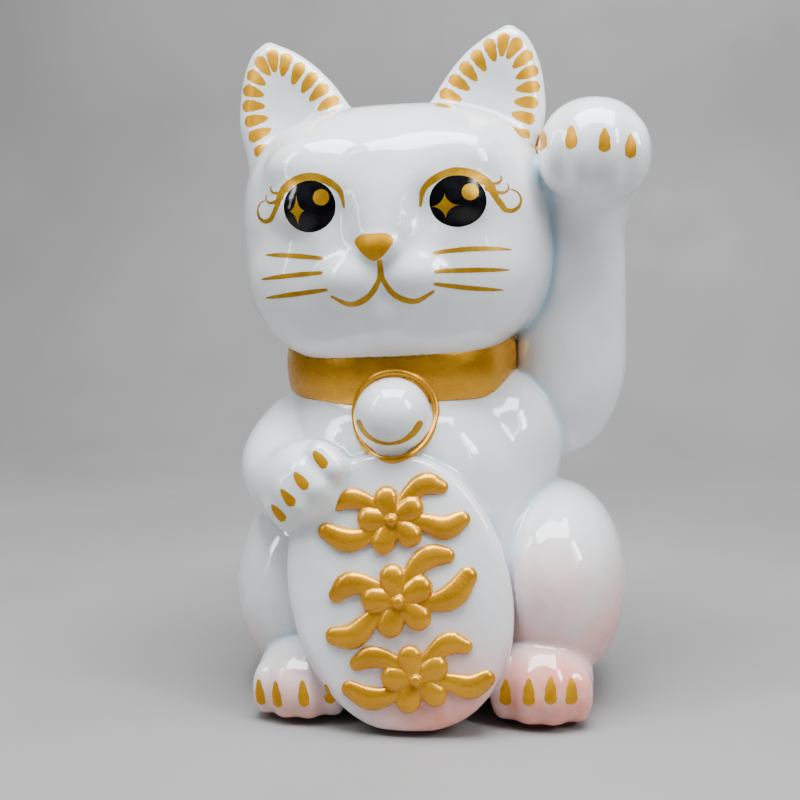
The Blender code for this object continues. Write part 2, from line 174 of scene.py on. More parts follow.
def superellipsoid(p, centre, radii, power, depth=None):
    """A boxy ellipsoid: power rounds it across and up, depth from front to back."""
    depth = depth or power

    def level(p):
        x, y, z = np.abs((p - centre) / radii).T + 1e-6
        return ((x**power + z**power) ** (depth / power) + y**depth) ** (1 / depth) - 1

    return even(level, p)


def catmull(rows, steps):
    """A smooth curve through rows of numbers, with steps points from each row to the next."""
    rows = np.array(rows, float)
    rows = np.vstack((2 * rows[0] - rows[1], rows, 2 * rows[-1] - rows[-2]))
    t = (np.arange(steps) / steps)[:, None]
    found = [
        0.5 * (2 * b + (c - a) * t + (2 * a - 5 * b + 4 * c - d) * t**2
               + (3 * b - a - 3 * c + d) * t**3)
        for a, b, c, d in zip(rows, rows[1:], rows[2:], rows[3:])
    ]
    return np.vstack((*found, rows[-2:-1]))


def limb(p, stations, steps=5, flat=None):
    """A round limb through stations of x, y, z and radius; flat scales the distance along Y."""
    rows = catmull(stations, steps)
    found = np.full(len(p), 1e3)
    scale = np.array((1.0, flat or 1.0, 1.0))
    for a, b in zip(rows, rows[1:]):
        way = b[:3] - a[:3]
        t = np.clip(((p - a[:3]) @ way) / (way @ way), 0, 1)
        off = (p - a[:3] - t[:, None] * way) * scale
        found = np.minimum(found, np.sqrt((off**2).sum(1)) - a[3] - (b[3] - a[3]) * t)
    return found


def lofted(p, stations, power):
    """A form with a superellipse at each height."""
    rows = catmull(stations, 8)

    def level(p):
        cx, cy, rx, ry = (np.interp(p[:, 2], rows[:, 0], rows[:, i]) for i in (1, 2, 3, 4))
        x, y = np.abs((p[:, 0] - cx) / rx) + 1e-6, np.abs((p[:, 1] - cy) / ry) + 1e-6
        return (x**power + y**power) ** (1 / power) - 1

    return even(level, p)


def into_head(p):
    """Takes points to the head's own upright frame."""
    c, s = math.cos(HEAD_ROLL), math.sin(HEAD_ROLL)
    z = p[:, 2] - HEAD_PIVOT_Z
    return np.column_stack((p[:, 0] * c + z * s, p[:, 1], HEAD_PIVOT_Z - p[:, 0] * s + z * c))


def from_head(p):
    p = np.atleast_2d(np.array(p, float))
    c, s = math.cos(HEAD_ROLL), math.sin(HEAD_ROLL)
    z = p[:, 2] - HEAD_PIVOT_Z
    return np.column_stack((p[:, 0] * c - z * s, p[:, 1], HEAD_PIVOT_Z + p[:, 0] * s + z * c))


def mirrored(p):
    """Folds points over to the left side, for forms that come in pairs."""
    return np.column_stack((np.abs(p[:, 0]), p[:, 1:]))


def turn(angle, axis):
    return np.array(Matrix.Rotation(angle, 3, axis))


PLAQUE_TURN = turn(PLAQUE_LEAN, "X") @ turn(PLAQUE_TILT, "Y")


def into_plaque(p):
    """Takes points to the plaque's plane: x across, z up its face and -y out of it."""
    return (p - PLAQUE_CENTRE) @ PLAQUE_TURN


def from_plaque(p):
    return np.atleast_2d(np.array(p, float)) @ PLAQUE_TURN.T + PLAQUE_CENTRE


def plaque_share(x, z):
    """How far out to the plaque's rim a place is: 1 on the rim itself."""
    return ((np.abs(x / PLAQUE_HALF_WIDTH) + 1e-6) ** PLAQUE_POWER
            + (np.abs(z / PLAQUE_HALF_HEIGHT) + 1e-6) ** PLAQUE_POWER) ** (1 / PLAQUE_POWER)


def plaque_front(x, z):
    """The y of the plaque's domed face."""
    return -PLAQUE_DOME + 1.5 * PLAQUE_DOME * plaque_share(x, z) ** 2


def head_field(p):
    """Skull, full cheeks and jaw, a soft nose bridge, two muzzle pads and chin, eyes in sockets."""
    q = into_head(p)
    m = mirrored(q)
    skull = superellipsoid(q, HEAD_CENTRE, HEAD_RADII, HEAD_POWER, HEAD_DEPTH_POWER)
    skull = smin(skull, ellipsoid(m, *CHEEK), 10)
    skull = smin(skull, ellipsoid(q, *JAW), 10)
    skull = smin(skull, ellipsoid(m, *BROW), 9)
    skull = smax(skull, -ellipsoid(m, *BESIDE_NOSE), 6.5)
    skull = smin(skull, ellipsoid(m, *EYEBALL), 4)
    skull = smin(skull, limb(q, NOSE_RIDGE, 12), 12)
    skull = smin(skull, ellipsoid(q, *CHIN), 7)
    (x, y, z), radii = MUZZLE_PAD
    pads = smin(*(ellipsoid(q, (side * x, y, z), radii) for side in (-1, 1)), 2.2)
    skull = smin(skull, pads, 6)
    return smin(skull, ellipsoid(q, *NOSE_TIP), 3.5)


def ear_field(side):
    def field(p):
        q = into_head(p)
        q[:, 0] *= side
        ear = lofted(q, EAR, 2.0)
        ear = smax(ear, q[:, 2] - EAR_TIP_Z, 2.5)
        return smax(ear, -ellipsoid(q, *EAR_SCOOP), 3.5)
    return field


def torso_field(p):
    body = smax(lofted(p, TORSO, TORSO_POWER), p[:, 2] - NECK_TOP_Z, 4)
    body = smin(body, ellipsoid(p, *SHOULDER), 9)
    return smin(body, ellipsoid(p, *CHEST), 8)


def toes(p, body, spots, radii, k):
    """Rounded toes along the front of a paw."""
    for spot in spots:
        body = smin(body, ellipsoid(p, spot, radii), k)
    return body


def raised_arm_field(p):
    arm = limb(p, RAISED_ARM, 14)
    arm = smin(arm, ellipsoid(p, *RAISED_SWELL), 8)
    arm = smin(arm, superellipsoid(p, *RAISED_PAW, RAISED_PAW_POWER), 6)
    middle = RAISED_PAW[0][0]
    spots = [(middle + RAISED_TOE_PITCH * i, -27.2 + 1.9 * i * i, 168.8) for i in TOES]
    return toes(p, arm, spots, (5.0, 7.9, 9.8), 4.8)


def plaque_arm_field(p):
    arm = limb(p, PLAQUE_ARM, 10)
    arm = smin(arm, ellipsoid(p, *PLAQUE_PAW), 6)
    for x, y, z in PLAQUE_TOES:
        toe = limb(p, ((x - 5.2, y + 1.2, z + 4.6, 4.2), (x - 1.4, y, z + 1.2, 4.4)), 1)
        arm = smin(arm, toe, 3)
    return arm


def haunch_field(centre, radii):
    return lambda p: superellipsoid(p, centre, radii, HIND_POWER)


def foot_field(centre, radii, pitch):
    def field(p):
        foot = superellipsoid(p, centre, radii, HIND_POWER)
        x, y, z = centre
        spots = [(x + pitch * i, y - radii[1] * (0.76 - 0.09 * i * i), z - 1.2) for i in TOES]
        return toes(p, foot, spots, (pitch * 0.6, 4.9, 8.2), 4.0)
    return field


def plaque_field(p):
    q = into_plaque(p)
    x, y, z = q.T
    rim = even(lambda r: plaque_share(r[:, 0], r[:, 2]) - 1, q)
    slab = smax(rim, plaque_front(x, z) - y, 5.0)
    return smax(slab, y - PLAQUE_DEPTH, 1.0)


# Castings: the field and the box it lies in.
CASTINGS = {
    "torso_shell": (torso_field, ((-48, -55, -12), (62, 52, 132))),
    "head_shell": (head_field, ((-58, -54, 102), (54, 44, 190))),
    "ear_left": (ear_field(1), ((-3, -12, 145), (52, 16, 216))),
    "ear_right": (ear_field(-1), ((-60, -12, 140), (2, 16, 212))),
    "raised_arm": (raised_arm_field, ((32, -38, 68), (82, 20, 190))),
    "plaque_arm": (plaque_arm_field, ((-54, -64, 50), (-4, 12, 102))),
    "haunch_left": (haunch_field(*HAUNCH_LEFT), ((24, -50, 0), (76, 30, 70))),
    "haunch_right": (haunch_field(*HAUNCH_RIGHT), ((-58, -46, 0), (-10, 28, 66))),
    "foot_left": (foot_field(*FOOT_LEFT, FOOT_LEFT_PITCH), ((28, -64, -6), (68, -18, 26))),
    "foot_right": (foot_field(*FOOT_RIGHT, FOOT_RIGHT_PITCH), ((-46, -65, -6), (-8, -20, 26))),
    "tail": (lambda p: ellipsoid(p, *TAIL), ((12, 36, 2), (40, 60, 28))),
    "koban_plaque": (plaque_field, ((-34, -68, -6), (44, -30, 88))),
    "bell": (lambda p: np.linalg.norm(p - BELL_CENTRE, axis=1) - BELL_R, ((-12, -58, 78), (15, -30, 106))),
}
NAMES = list(CASTINGS)


def distances(p):
    """Each casting's field at each point, one row for each casting."""
    rows = np.full((len(NAMES), len(p)), REACH)
    for row, (field, (low, high)) in zip(rows, CASTINGS.values()):
        near = ((p > np.array(low) - REACH) & (p < np.array(high) + REACH)).all(1)
        if near.any():
            row[near] = np.minimum(field(p[near]), REACH)
    return rows


def skin_of(rows, p):
    """The glaze: all castings run together, cut flat below, with a slight unevenness."""
    skin = rows[0]
    for row in rows[1:]:
        skin = smin(skin, row, CREASE)
    x, y, z = p.T
    ripple = np.sin(x / 5.1 + np.sin(z / 8.3)) * np.sin(y / 6.7 + 1.3) * np.sin(z / 6.1 + x / 11.0)
    return smax(skin + 0.10 * ripple, BASE_Z - z, 1.6)


def skin(p):
    return skin_of(distances(p), p)


def unit(ways):
    return ways / np.maximum(np.linalg.norm(ways, axis=1), 1e-9)[:, None]


def slope(field, p, step):
    """The gradient of a field, by differences."""
    columns = []
    for axis in range(3):
        e = np.zeros(3)
        e[axis] = step
        columns.append((field(p + e) - field(p - e)) / (2 * step))
    return np.column_stack(columns)


# ---------------------------------------------------------------- meshing
CELL_CORNERS = np.array([(i, j, k) for i in (0, 1) for j in (0, 1) for k in (0, 1)])
CELL_EDGES = [(a, b) for a in range(8) for b in range(a + 1, 8)
              if np.abs(CELL_CORNERS[a] - CELL_CORNERS[b]).sum() == 1]
COARSE = 4                                   # lattice steps between the points of a first look
HOLLOW_REACH = 1.6                           # how far round a place its hollowness is felt, mm


def lattice_values(fields, low, high, grid):
    """Values of several fields on the lattice between two corners, fine only near a surface."""
    first = np.floor(np.array(low) / grid / COARSE).astype(int) * COARSE
    blocks = np.ceil((np.array(high) / grid - first) / COARSE).astype(int)
    corner = np.stack(np.meshgrid(*(np.arange(n) for n in blocks), indexing="ij"), -1)
    middles = (first + corner.reshape(-1, 3) * COARSE + (COARSE - 1) / 2) * grid
    rough = fields(middles)
    shape = tuple(blocks * COARSE)
    values = []
    for row in rough:
        block = row.reshape(blocks)
        for axis in range(3):
            block = np.repeat(block, COARSE, axis)
        values.append(block)
    outline = np.abs(np.max(rough, 0)).reshape(blocks) < grid * COARSE * 1.6
    for axis in range(3):
        outline = np.repeat(outline, COARSE, axis)
    spots = np.argwhere(outline)
    for row, fine in zip(values, fields((first + spots) * grid)):
        row[tuple(spots.T)] = fine
    return first, values


def surface_nets(first, values, grid):
    """Vertices and quads of the zero set of the greatest of several fields.

    Each vertex also says which fields it lies on: one column for each field.
    """
    whole = np.max(values, 0)
    inside = whole < 0
    size = np.array(whole.shape) - 1
    count = sum(inside[i:size[0] + i, j:size[1] + j, k:size[2] + k].astype(np.int8)
                for i, j, k in CELL_CORNERS)
    active = (count > 0) & (count < 8)
    cells = np.argwhere(active)
    index = np.full(active.shape, -1)
    index[active] = np.arange(len(cells))
    total, hits = np.zeros((len(cells), 3)), np.zeros(len(cells))
    on = np.zeros((len(cells), len(values)), bool)
    for a, b in CELL_EDGES:
        at_a, at_b = (tuple((cells + CELL_CORNERS[c]).T) for c in (a, b))
        va, vb = whole[at_a], whole[at_b]
        cross = (va < 0) != (vb < 0)
        t = va[cross] / (va[cross] - vb[cross])
        total[cross] += CELL_CORNERS[a] + t[:, None] * (CELL_CORNERS[b] - CELL_CORNERS[a])
        hits[cross] += 1
        each = np.array([row[at_a][cross] * (1 - t) + row[at_b][cross] * t for row in values])
        on[np.flatnonzero(cross), each.argmax(0)] = True
    points = (first + cells + total / hits[:, None]) * grid
    quads = []
    for axis in range(3):
        one, two = [a for a in range(3) if a != axis]
        low, high = [slice(1, -1)] * 3, [slice(1, -1)] * 3
        low[axis], high[axis] = slice(0, -1), slice(1, None)
        out, into = inside[tuple(low)], inside[tuple(high)]
        for way, changed in ((1, out & ~into), (-1, ~out & into)):
            spots = np.argwhere(changed)
            spots[:, one] += 1
            spots[:, two] += 1
            ring = []
            for da, db in ((0, 0), (1, 0), (1, 1), (0, 1)):
                cell = spots.copy()
                cell[:, one] -= 1 - da
                cell[:, two] -= 1 - db
                ring.append(index[tuple(cell.T)])
            if (axis == 1) == (way == 1):
                ring.reverse()
            quads.append(np.column_stack(ring))
    return points, np.vstack(quads), on


def settle(points, on, fields, grid, rounds=4):
    """Moves each vertex onto the surfaces that it lies on."""
    for _ in range(rounds):
        value = fields(points)
        way = np.empty((*value.shape, 3))
        for axis in range(3):
            e = np.zeros(3)
            e[axis] = 0.05
            way[..., axis] = (fields(points + e) - fields(points - e)) / 0.1
        for number in range(len(value)):
            at = (on.sum(1) == 1) & on[:, number]
            length = np.maximum((way[number, at] ** 2).sum(1), 0.05)
            points[at] -= np.clip(value[number, at] / length, -grid, grid)[:, None] * way[number, at]
        at = np.flatnonzero(on.sum(1) == 2)
        if len(at):
            pair = np.argsort(~on[at], axis=1, kind="stable")[:, :2]
            rows = np.stack([way[pair[:, i], at] for i in (0, 1)], 1)
            gap = np.stack([value[pair[:, i], at] for i in (0, 1)], 1)
            grams = rows @ rows.transpose(0, 2, 1) + 1e-3 * np.eye(2)
            move = (rows.transpose(0, 2, 1) @ np.linalg.solve(grams, gap[..., None]))[..., 0]
            length = np.maximum(np.linalg.norm(move, axis=1), 1e-9)
            points[at] -= move * np.minimum(1, grid / length)[:, None]
    return points


def as_object(name, points, faces, normals=None):
    """A smooth mesh in the row frame, from points in the cat's frame."""
    mesh = bpy.data.meshes.new(name)
    world = (points + AXIS) * MM
    faces = np.asarray(faces)
    mesh.vertices.add(len(world))
    mesh.vertices.foreach_set("co", world.astype(np.float32).ravel())
    sides = faces.shape[1]
    mesh.loops.add(faces.size)
    mesh.loops.foreach_set("vertex_index", faces.astype(np.int32).ravel())
    mesh.polygons.add(len(faces))
    mesh.polygons.foreach_set("loop_start", np.arange(0, faces.size, sides, dtype=np.int32))
    mesh.update()
    mesh.validate()
    mesh.shade_smooth()
    if normals is not None:
        mesh.normals_split_custom_set(normals.reshape(-1, 3).tolist())
    obj = bpy.data.objects.new(name, mesh)
    bpy.context.scene.collection.objects.link(obj)
    return obj


def corner_normals(points, faces, skin_faces, way):
    """Normals at each face's corners: the skin's own on it, and the face's elsewhere."""
    found = way[faces].copy()
    a, b, c, d = (points[faces[:, i]] for i in range(4))
    flat = np.cross(c - a, d - b)
    flat /= np.maximum(np.linalg.norm(flat, axis=1), 1e-9)[:, None]
    found[~skin_faces] = flat[~skin_faces][:, None, :]
    return found


def mark(obj, name, values):
    """Stores a number for each vertex, for a finish to read."""
    attribute = obj.data.attributes.new(name, "FLOAT", "POINT")
    attribute.data.foreach_set("value", values.astype(np.float32))


def skin_mesh(node, extra=None):
    """The part of the glazed skin that belongs to one casting: points, faces, normals, hollowness.

    extra(p, skin) may cut openings: it returns the changed skin and a field of its inside faces.
    """
    number = NAMES.index(node)

    def fields(p):
        rows = distances(p)
        glaze = skin_of(rows, p)
        own = rows[number] - np.delete(rows, number, 0).min(0)
        if extra is not None:
            glaze, inner = extra(p, glaze)
            own = np.maximum(own, inner)
        return np.array((glaze, own))

    low, high = CASTINGS[node][1]
    first, values = lattice_values(fields, np.array(low) - 3, np.array(high) + 3, GRID)
    points, faces, on = surface_nets(first, values, GRID)
    points = settle(points, on, fields, GRID)
    way = unit(slope(lambda p: fields(p)[0], points, 0.45))
    on_skin, on_seam = on[:, 0], on.all(1)
    skin_faces = on_skin[faces].all(1) & ~on_seam[faces].all(1)
    # How concave the skin is round each vertex. The porcelain finish darkens concave places to blue-grey with
    # it: partly glaze pooled there, partly painted shade in the creases.
    bend = -6 * skin(points)
    for axis in range(3):
        e = np.zeros(3)
        e[axis] = HOLLOW_REACH
        bend += skin(points + e) + skin(points - e)
    hollow = np.clip(-bend / HOLLOW_REACH * 1.1, 0, 1)
    return points, faces, corner_normals(points, faces, skin_faces, way), hollow


def skin_piece(node, extra=None):
    """One casting's glaze, in the place of its node."""
    points, faces, normals, hollow = skin_mesh(node, extra)
    obj = as_object(node + "_glaze", points, faces, normals)
    # The concavity that the porcelain finish turns into blue-grey: pooled glaze and painted crease shade
    # together.
    mark(obj, "hollow", hollow)
    mark(obj, "blush", blush(points))
    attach(obj, "cat")
    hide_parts(node)
    return obj


def solid_mesh(field, low, high, grid=0.6):
    """The surface of a closed solid of one field: points, faces and normals."""
    fields = lambda p: field(p)[None]
    first, values = lattice_values(fields, np.array(low), np.array(high), grid)
    points, faces, on = surface_nets(first, values, grid)
    points = settle(points, on, fields, grid)
    return points, faces, unit(slope(field, points, 0.2))[faces]


def gilt_piece(name, mesh, node):
    """A gilded solid that takes the place of a node."""
    obj = as_object(name, *mesh)
    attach(obj, "cat")
    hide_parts(node)
    return obj


# ---------------------------------------------------------------- openings of the torso
WALL = 4.0
FLOOR_Z = BASE_Z + 6
SLOT = (0, 45, 81), (18, 20, 2.7)                     # coin slot: centre and half sizes
BORE_XY, BORE_R, RECESS_R, RECESS_DEPTH = (7, 2), 18.0, 23.0, 3.4


def round_block(p, centre, half, rounding):
    """A block with rounded edges, from its centre and half sizes."""
    q = np.abs(p - centre) - half + rounding
    return np.linalg.norm(np.maximum(q, 0), axis=1) + np.minimum(q.max(1), 0) - rounding


def torso_openings(p, glaze):
    """Cuts the coin slot and the stopper's seat through the skin, into the hollow inside."""
    x, y, z = p.T
    reach = np.hypot(x - BORE_XY[0], y - BORE_XY[1])
    slot = round_block(p, *SLOT, 2.2)
    recess = smax(reach - RECESS_R, z - BASE_Z - RECESS_DEPTH, 0.8)
    bore = smax(reach - BORE_R, z - FLOOR_Z - 4, 0.5)
    glaze = smax(glaze, -smin(slot, smin(recess, bore, 0.6), 0.6), 1.2)
    hollow = smax(lofted(p, TORSO, TORSO_POWER) + WALL, FLOOR_Z - z, 3)
    return glaze, -smax(hollow, z - 100, 3)


# ---------------------------------------------------------------- gilded solids
COLLAR_RX, COLLAR_RY, COLLAR_LOW, COLLAR_HIGH = 36.6, 35.6, 93.2, 113.5
SPRAYS = {   # centre on the plaque's face, side the spray leans to, size
    "spray_top": ((4, 21), -1, 0.93),
    "spray_middle": ((0, -2), 1, 1.0),
    "spray_bottom": ((-1, -25), -1, 0.93),
}
PETAL = ((1.2, 2.3), (4.8, 3.5), (7.2, 3.9))         # distance from the middle, half width
LEAVES = (   # x, z, half width along each leaf
    ((-2, -0.8, 2.2), (-9.4, -3.2, 2.9), (-15.5, -6.4, 3.9), (-21.0, -5.2, 2.8)),
    ((-2, 1.5, 2.2), (-7.5, 6.4, 2.9), (-13, 8.4, 3.6), (-17.3, 6.2, 2.4)),
    ((2, -0.6, 2.2), (9.6, -2.8, 2.9), (15.8, -2.2, 3.9), (21.1, 2.0, 2.8)),
    ((2, 1.5, 2.2), (6.6, 7.6, 2.9), (12, 10.2, 3.5), (16.8, 9.2, 2.4)),
)
BELL_RIM_R, BELL_RIM_WIRE = 12.3, 1.15
RELIEF = 1.6                                         # a stroke's half width over its height
COLLAR_BOX = (-42, -41, 88), (42, 41, 120)           # these boxes are what the solids are meshed in
SPRAY_BOX = np.array((28, 9, 18))                    # half sizes, round the spray's middle
BELL_RIM_BOX = np.array((16, 12, 16)), np.array((16, 16, 16))        # reach below and above the bell's centre


def collar_field(p):
    """A swollen band round the neck, tilted with the head, its edges a little uneven."""
    x, y, z = into_head(p).T
    round_neck = np.arctan2(y, x)
    z = z + 0.35 * np.sin(3 * round_neck + 0.6) + 0.2 * np.sin(7 * round_neck)
    half = (COLLAR_HIGH - COLLAR_LOW) / 2
    share = np.clip((z - COLLAR_LOW - half) / half, -1, 1)
    outer = (np.hypot(x / COLLAR_RX, y / COLLAR_RY) - 1) * COLLAR_RX - 1.7 * (1 - share**2)
    band = smax(outer, -outer - 6, 0.5)
    return smax(band, np.abs(z - COLLAR_LOW - half) - half, 2.2)


def sprays_field(p, centre, side, size):
    """A five-petalled blossom between four brushed leaves, raised on the plaque's face."""
    x, y, z = into_plaque(p).T
    raised = np.column_stack(((x - centre[0]) * side / size, (plaque_front(x, z) - y) / size,
                              (z - centre[1]) / size))
    found = None
    for leaf in LEAVES:
        part = limb(raised, [(a, 0, b, w) for a, b, w in leaf], 5, RELIEF)
        found = part if found is None else smin(found, part, 1.2)
    for k in range(5):
        c, s = math.cos(math.radians(90 + 72 * k)), math.sin(math.radians(90 + 72 * k))
        part = limb(raised, [(r * c, 0.5, r * s, w) for r, w in PETAL], 3, RELIEF)
        found = smin(found, part, 0.5)
    found = smin(found, ellipsoid(raised, (0, 2.2, 0), (1.9, 1.5, 1.9)), 0.5)
    return found * size * 0.8


def seated(field):
    """A field trimmed to sit on the glaze, sunk very slightly into it."""
    return lambda p: smax(field(p), -skin(p) - 0.15, 0.2)


# ---------------------------------------------------------------- brushed enamel
# Marks are laid out in mm as seen from the front: in the head's own upright frame for the face
# and ears, and in the cat's frame below the neck. Below, "out" runs from an eye away from the nose.
EYES = ((-20.7, 154.4, 7.9, 7.6), (22.9, 153.5, 8.3, 7.5))     # centre, half width and half height
EYE_DOT, EYE_DOT_RADIUS = (3.7, 2.4), 2.4            # from the eye's centre, up and to the same side
EYE_STAR = (-3.6, -1.2)
STAR_REACH = ((2.5, 4.6), (4.2, 3.8))                # across and up, the cat's right eye first
LID_CLEARANCE, LID_FLARE = 1.1, 1.7                  # over the eye, and further at both ends
LID_START, LID_STOP = math.radians(2), math.radians(187)       # round from the outer corner
LID_WIDTHS = (0.85, 1.05, 1.05, 0.95, 0.9, 0.7, 0.3)
CURL_CENTRE, CURL_RADIUS = (15, -0.2), 3.2           # out and up from the eye's centre
CURL_START, CURL_STOP = math.radians(245), math.radians(450)
CURL_WIDTHS = (0.6, 0.5, 0.4, 0.3, 0.22, 0.14)
LASHES = (                                           # out, up and half width
    ((5.8, 5.4, 0.5), (9.6, 4.6, 0.4), (12, 5, 0.3), (12.8, 6.2, 0.22), (12.1, 7.1, 0.12)),
    ((7.7, 3.6, 0.6), (10.9, 2.2, 0.45), (13.6, 2.1, 0.3), (14.8, 3.4, 0.22), (14.2, 4.9, 0.12)),
)
NOSE_X = -1.4
NOSE = ((0, 145.4), (3.6, 145.3), (5.9, 143.3), (3.6, 139.8), (0.9, 137.7))    # half of the outline
MOUTH = ((0.3, 137.9, 0.4), (0.4, 135.5, 0.4), (0.7, 131.8, 0.6), (4.1, 127.2, 0.73), (9.6, 125.3, 0.65),
         (15.4, 128.1, 0.32))                        # one side of it
WHISKERS = (                                         # root, tip and how far it bows up
    (-17.3, 139, -36.6, 141, 0.3), (-17.2, 134.9, -38.3, 133.7, 0.2), (-15.8, 129.9, -37.3, 128, 0),
    (15.1, 138.8, 37.9, 138.7, 0.8), (15.3, 133.6, 37.1, 132.8, 0.2), (15, 130.1, 35.1, 127, -0.3),
)
WHISKER_WIDTHS = (0.38, 0.54, 0.6, 0.45, 0.15)
EAR_EDGE = ((44.2, 173.6), (47, 182.5), (48.2, 192), (46.2, 200), (41.2, 206), (35, 206.7), (28, 202.3),
            (21.5, 196.3), (16.6, 190))              # where the strokes start, from the outer root
EAR_AIM = (32.5, 186)                                # a spot in the scoop that the strokes lean to
EAR_STROKES, EAR_STROKE_LENGTH, EAR_STROKE_HALF = 13, 6.8, 1.62
EAR_ROOT_STROKE = (15.9, 184.7, 20.3, 182.9, 0.8)    # a slighter one on the crown by the left ear
CLAWS = {    # the claws' centres, their lean, length and half width
    "raised_paw": (((44.2, 173.3), (52.9, 173.1), (62.5, 172.1), (70.2, 170.5)), 0, 6.1, 1.45),
    "plaque_paw": (((-18.3, 80.3), (-23.6, 74.3), (-27.6, 69.2), (-30.9, 64)), 43, 5.4, 1.3),
    "foot_right": (((-37.3, 8.9), (-31.6, 9.6), (-23.4, 10.4), (-16, 10.4)), 6, 6.9, 1.35),
    "foot_left": (((35.9, 11.2), (42.7, 12.6), (49, 13.3), (55.1, 12.5)), 0, 6.7, 1.45),
}
TEARDROP = ((-0.04, 0.92), (0.3, 1.0), (0.7, 0.8), (1.12, 0.28))     # share of the way, and of the width
SLIT_CENTRE, SLIT_RADIUS = (1.3, 94.9), 10           # the bell's slit is a stretch of circle
SLIT_START, SLIT_STOP = math.radians(200), math.radians(340)
SLIT_WIDTHS = (0.8, 0.8, 0.55, 0.45, 0.55, 0.8, 0.8)
PATCH_RINGS = np.array((0.03, 0.2, 0.4, 0.6, 0.78, 0.9, 0.97, 1.0))     # shares of a patch's outline
BRUSH = 1.22                                 # how far the enamel spreads beyond the drawn widths


def brushed(stations, spacing=0.5):
    """Rows of x, z and half width along a stroke, evenly spaced and rounded off at both ends."""
    rows = catmull(stations, 12)
    along = np.append(0, np.cumsum(np.hypot(*np.diff(rows[:, :2], axis=0).T)))
    at = np.linspace(0, along[-1], max(7, int(along[-1] / spacing)))
    x, z, half = (np.interp(at, along, rows[:, i]) for i in range(3))
    to_end = np.clip(np.minimum(at, along[-1] - at) / half, 0, 1)
    half = BRUSH * half * np.sqrt(np.maximum(1 - (1 - to_end) ** 2, 0.02)) * (1 + 0.05 * np.sin(1.9 * at + x))
    return np.column_stack((x, z, half))


def stroke(stations, proud=0.2, base=0.0, across=7):
    """Plan of one brush stroke: places, heights over the skin, and faces of its upper side."""
    rows = brushed(stations)
    way = np.gradient(rows[:, :2], axis=0)
    way /= np.maximum(np.hypot(*way.T), 1e-9)[:, None]
    side = np.column_stack((-way[:, 1], way[:, 0]))
    u = np.sin(np.linspace(-1, 1, across) * math.pi / 2)
    places = rows[:, None, :2] + u[None, :, None] * rows[:, None, 2:] * side[:, None]
    height = base + proud * np.sqrt(1 - u**2)[None] * np.minimum(rows[:, 2:] / 0.5, 1)
    faces = [(i * across + j, i * across + j + 1, (i + 1) * across + j + 1, (i + 1) * across + j)
             for i in range(len(rows) - 1) for j in range(across - 1)]
    return places.reshape(-1, 2), height.ravel(), faces


def patch(outline, proud=0.15, base=0.0):
    """Plan of a filled shape, flat on top with a rounded edge."""
    outline = np.array(outline)
    middle = outline.mean(0)
    places = middle + PATCH_RINGS[:, None, None] * (outline - middle)[None]
    height = base + proud * np.sqrt(np.maximum(1 - PATCH_RINGS**8, 0))
    sides = len(outline)
    faces = []
    for i in range(len(PATCH_RINGS) - 1):
        for j in range(sides):
            k = (j + 1) % sides
            faces.append((i * sides + j, i * sides + k, (i + 1) * sides + k, (i + 1) * sides + j))
    faces.append(tuple(range(sides)))
    return places.reshape(-1, 2), np.repeat(height, sides), faces


def closed_curve(points, steps=4):
    """A smooth outline through points."""
    points = list(points)
    return catmull(points[-1:] + points + points[:2], steps)[steps:-steps - 1]


def oval(x, z, half_width, half_height):
    return [(x + half_width * math.cos(a), z + half_height * math.sin(a))
            for a in np.linspace(0, math.tau, 49)[:-1]]


def star(x, z, across, up):
    """A four-pointed star with hollow sides."""
    return [(x + across * math.copysign(abs(math.cos(a)) ** 3.4, math.cos(a)),
             z + up * math.copysign(abs(math.sin(a)) ** 3.4, math.sin(a)))
            for a in np.linspace(0, math.tau, 49)[:-1]]


def teardrop(x0, z0, x1, z1, half):
    """A stroke that is full at its first end and comes to a point at the other."""
    stations = [(x0 + (x1 - x0) * t, z0 + (z1 - z0) * t, half * w) for t, w in TEARDROP]
    return stroke(stations, 0.18)


def arc(centre, radius, start, stop, widths):
    """Stations on a stretch of circle, one for each of the half widths."""
    return [(centre[0] + radius * math.cos(a), centre[1] + radius * math.sin(a), w)
            for a, w in zip(np.linspace(start, stop, len(widths)), widths)]


def lid_and_lashes(eye, out):
    """The upper lid's line, its curl beyond the outer corner and two lashes over that."""
    x, z, half_width, half_height = eye
    lid = []
    for a, w in zip(np.linspace(LID_START, LID_STOP, len(LID_WIDTHS)), LID_WIDTHS):
        clear = LID_CLEARANCE + LID_FLARE * abs(math.cos(a)) ** 4
        lid.append(((half_width + clear) * math.cos(a), (half_height + clear) * math.sin(a), w))
    curl = [(lid[0][0] - 0.5, lid[0][1] + 0.8, 0.7), (lid[0][0] + 1.4, -1.6, 0.75)]
    curl += arc(CURL_CENTRE, CURL_RADIUS, CURL_START, CURL_STOP, CURL_WIDTHS)
    return [stroke([(x + out * u, z + v, w) for u, v, w in line]) for line in (lid, curl, *LASHES)]


def whisker(root_x, root_z, tip_x, tip_z, bow):
    stations = []
    for t, w in zip((0, 0.2, 0.5, 0.8, 1), WHISKER_WIDTHS):
        z = root_z + (tip_z - root_z) * t + 4 * bow * t * (1 - t)
        stations.append((root_x + (tip_x - root_x) * t, z, w))
    return stroke(stations)


def ear_strokes(side):
    """Strokes from the ear's edge into the scoop, between square to the edge and EAR_AIM."""
    edge = catmull(EAR_EDGE, 8)
    along = np.append(0, np.cumsum(np.hypot(*np.diff(edge, axis=0).T)))
    way = np.gradient(edge, axis=0)
    found = []
    for at in np.linspace(0, along[-1], EAR_STROKES):
        x, z, dx, dz = (np.interp(at, along, row) for row in (*edge.T, *way.T))
        square = np.array((-dz, dx)) / math.hypot(dx, dz)
        inward = np.subtract(EAR_AIM, (x, z))
        aim = square + inward / math.hypot(*inward)
        reach = EAR_STROKE_LENGTH / math.hypot(*aim) * aim * (0.7 if at == 0 else 1)
        found.append(teardrop(side * x, z, side * (x + reach[0]), z + reach[1], EAR_STROKE_HALF))
    return found


